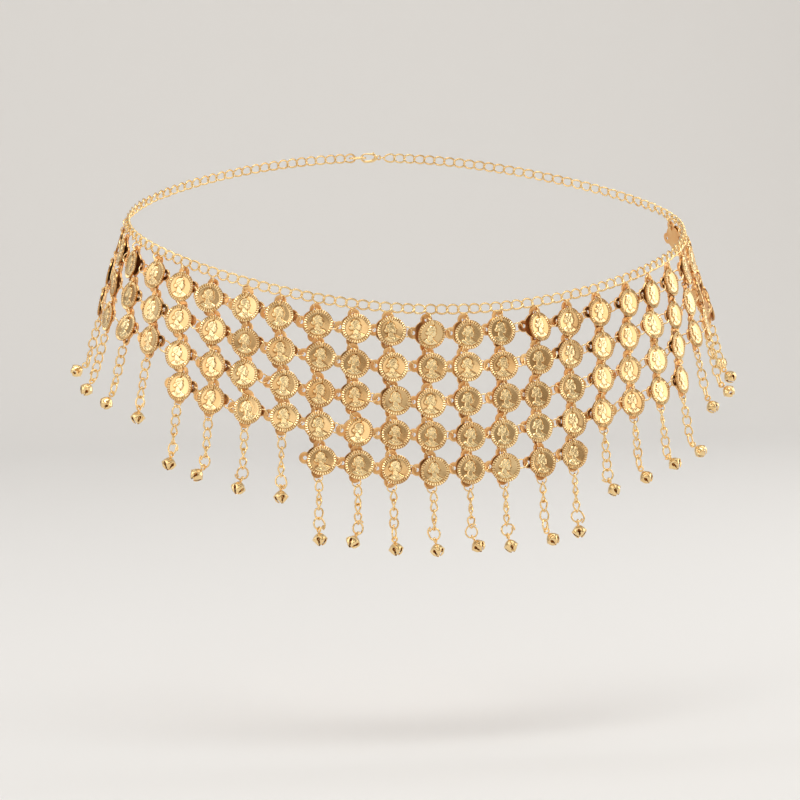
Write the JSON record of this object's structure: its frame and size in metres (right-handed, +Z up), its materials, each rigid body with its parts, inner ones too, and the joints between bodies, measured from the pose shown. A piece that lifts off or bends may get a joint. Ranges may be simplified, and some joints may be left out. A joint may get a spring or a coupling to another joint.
{
  "type": "coin belt",
  "caption": "Metal hip belt: a waist chain carrying a stepped net of linked coins, with a swinging chain and jingle bell under each column, closed behind by a clasp.",
  "frame": {"origin": "middle of the waist chain's loop, level half way between its lowest point in front and its highest behind, where the wearer's hips hold it", "axes": "+X to the right as seen from the front, -Y out of the front, +Z up"},
  "size_m": [0.4112, 0.2448, 0.2353],
  "materials": {
    "gold_coin": "polished light gold-tone metal, embossed",
    "gold_chain": "polished light gold-tone wire",
    "gold_bell": "polished light gold-tone sheet and wire",
    "gold_clasp": "polished light gold-tone casting"
  },
  "bodies": {
    "root": {"chain_right_back": "gold_chain", "chain_right_side": "gold_chain", "chain_front": "gold_chain", "chain_left_side": "gold_chain", "chain_left_back": "gold_chain", "column_01": "gold_coin", "column_02": "gold_coin", "column_03": "gold_coin", "column_04": "gold_coin", "column_05": "gold_coin", "column_06": "gold_coin", "column_07": "gold_coin", "column_08": "gold_coin", "column_09": "gold_coin", "column_10": "gold_coin", "column_11": "gold_coin", "column_12": "gold_coin", "column_13": "gold_coin", "column_14": "gold_coin", "column_15": "gold_coin", "column_16": "gold_coin", "column_17": "gold_coin", "column_18": "gold_coin", "column_19": "gold_coin", "column_20": "gold_coin", "column_21": "gold_coin", "column_22": "gold_coin", "column_23": "gold_coin", "column_24": "gold_coin", "clasp": "gold_clasp", "end_ring": "gold_clasp"},
    "dangle_01": {"dangle_01": "gold_bell"},
    "dangle_02": {"dangle_02": "gold_bell"},
    "dangle_03": {"dangle_03": "gold_bell"},
    "dangle_04": {"dangle_04": "gold_bell"},
    "dangle_05": {"dangle_05": "gold_bell"},
    "dangle_06": {"dangle_06": "gold_bell"},
    "dangle_07": {"dangle_07": "gold_bell"},
    "dangle_08": {"dangle_08": "gold_bell"},
    "dangle_09": {"dangle_09": "gold_bell"},
    "dangle_10": {"dangle_10": "gold_bell"},
    "dangle_11": {"dangle_11": "gold_bell"},
    "dangle_12": {"dangle_12": "gold_bell"},
    "dangle_13": {"dangle_13": "gold_bell"},
    "dangle_14": {"dangle_14": "gold_bell"},
    "dangle_15": {"dangle_15": "gold_bell"},
    "dangle_16": {"dangle_16": "gold_bell"},
    "dangle_17": {"dangle_17": "gold_bell"},
    "dangle_18": {"dangle_18": "gold_bell"},
    "dangle_19": {"dangle_19": "gold_bell"},
    "dangle_20": {"dangle_20": "gold_bell"},
    "dangle_21": {"dangle_21": "gold_bell"},
    "dangle_22": {"dangle_22": "gold_bell"},
    "dangle_23": {"dangle_23": "gold_bell"},
    "dangle_24": {"dangle_24": "gold_bell"}
  },
  "joints": [
    {"name": "dangle_01_swing", "type": "hinge", "parent": "root", "child": "dangle_01", "pos_m": [-0.19303, -0.00085, -0.05598], "axis": [0.2106, 0.9776, 0], "range_deg": [0, 50]},
    {"name": "dangle_02_swing", "type": "hinge", "parent": "root", "child": "dangle_02", "pos_m": [-0.19148, -0.023, -0.06331], "axis": [-0.0889, 0.996, 0], "range_deg": [0, 50]},
    {"name": "dangle_03_swing", "type": "hinge", "parent": "root", "child": "dangle_03", "pos_m": [-0.18281, -0.0446, -0.06937], "axis": [-0.3716, 0.9284, 0], "range_deg": [0, 50]},
    {"name": "dangle_04_swing", "type": "hinge", "parent": "root", "child": "dangle_04", "pos_m": [-0.17074, -0.06117, -0.07613], "axis": [-0.5873, 0.8094, 0], "range_deg": [0, 50]},
    {"name": "dangle_05_swing", "type": "hinge", "parent": "root", "child": "dangle_05", "pos_m": [-0.15519, -0.0816, -0.10195], "axis": [-0.7338, 0.6794, 0], "range_deg": [0, 50]},
    {"name": "dangle_06_swing", "type": "hinge", "parent": "root", "child": "dangle_06", "pos_m": [-0.13817, -0.09272, -0.10894], "axis": [-0.8299, 0.5579, 0], "range_deg": [0, 50]},
    {"name": "dangle_07_swing", "type": "hinge", "parent": "root", "child": "dangle_07", "pos_m": [-0.11825, -0.10289, -0.11498], "axis": [-0.8933, 0.4495, 0], "range_deg": [0, 50]},
    {"name": "dangle_08_swing", "type": "hinge", "parent": "root", "child": "dangle_08", "pos_m": [-0.09745, -0.11083, -0.11918], "axis": [-0.9357, 0.3529, 0], "range_deg": [0, 50]},
    {"name": "dangle_09_swing", "type": "hinge", "parent": "root", "child": "dangle_09", "pos_m": [-0.07699, -0.11965, -0.1435], "axis": [-0.9641, 0.2657, 0], "range_deg": [0, 50]},
    {"name": "dangle_10_swing", "type": "hinge", "parent": "root", "child": "dangle_10", "pos_m": [-0.05486, -0.12406, -0.14637], "axis": [-0.9827, 0.1852, 0], "range_deg": [0, 50]},
    {"name": "dangle_11_swing", "type": "hinge", "parent": "root", "child": "dangle_11", "pos_m": [-0.0342, -0.12688, -0.14944], "axis": [-0.994, 0.1094, 0], "range_deg": [0, 50]},
    {"name": "dangle_12_swing", "type": "hinge", "parent": "root", "child": "dangle_12", "pos_m": [-0.01065, -0.12841, -0.15047], "axis": [-0.9993, 0.0362, 0], "range_deg": [0, 50]},
    {"name": "dangle_13_swing", "type": "hinge", "parent": "root", "child": "dangle_13", "pos_m": [0.01128, -0.1283, -0.14974], "axis": [-0.9993, -0.0362, 0], "range_deg": [0, 50]},
    {"name": "dangle_14_swing", "type": "hinge", "parent": "root", "child": "dangle_14", "pos_m": [0.03273, -0.12701, -0.14916], "axis": [-0.994, -0.1094, 0], "range_deg": [0, 50]},
    {"name": "dangle_15_swing", "type": "hinge", "parent": "root", "child": "dangle_15", "pos_m": [0.05617, -0.12394, -0.14729], "axis": [-0.9827, -0.1852, 0], "range_deg": [0, 50]},
    {"name": "dangle_16_swing", "type": "hinge", "parent": "root", "child": "dangle_16", "pos_m": [0.0767, -0.11968, -0.14317], "axis": [-0.9641, -0.2657, 0], "range_deg": [0, 50]},
    {"name": "dangle_17_swing", "type": "hinge", "parent": "root", "child": "dangle_17", "pos_m": [0.09734, -0.11099, -0.11993], "axis": [-0.9357, -0.3529, 0], "range_deg": [0, 50]},
    {"name": "dangle_18_swing", "type": "hinge", "parent": "root", "child": "dangle_18", "pos_m": [0.11843, -0.10265, -0.11416], "axis": [-0.8933, -0.4495, 0], "range_deg": [0, 50]},
    {"name": "dangle_19_swing", "type": "hinge", "parent": "root", "child": "dangle_19", "pos_m": [0.13803, -0.09276, -0.10872], "axis": [-0.8299, -0.5579, 0], "range_deg": [0, 50]},
    {"name": "dangle_20_swing", "type": "hinge", "parent": "root", "child": "dangle_20", "pos_m": [0.15524, -0.08182, -0.10291], "axis": [-0.7338, -0.6794, 0], "range_deg": [0, 50]},
    {"name": "dangle_21_swing", "type": "hinge", "parent": "root", "child": "dangle_21", "pos_m": [0.17003, -0.06221, -0.07628], "axis": [-0.5873, -0.8094, 0], "range_deg": [0, 50]},
    {"name": "dangle_22_swing", "type": "hinge", "parent": "root", "child": "dangle_22", "pos_m": [0.18355, -0.04335, -0.07023], "axis": [-0.3716, -0.9284, 0], "range_deg": [0, 50]},
    {"name": "dangle_23_swing", "type": "hinge", "parent": "root", "child": "dangle_23", "pos_m": [0.19117, -0.02363, -0.06241], "axis": [-0.0889, -0.996, 0], "range_deg": [0, 50]},
    {"name": "dangle_24_swing", "type": "hinge", "parent": "root", "child": "dangle_24", "pos_m": [0.19304, -0.00119, -0.05574], "axis": [0.2106, -0.9776, 0], "range_deg": [0, 50]}
  ]
}
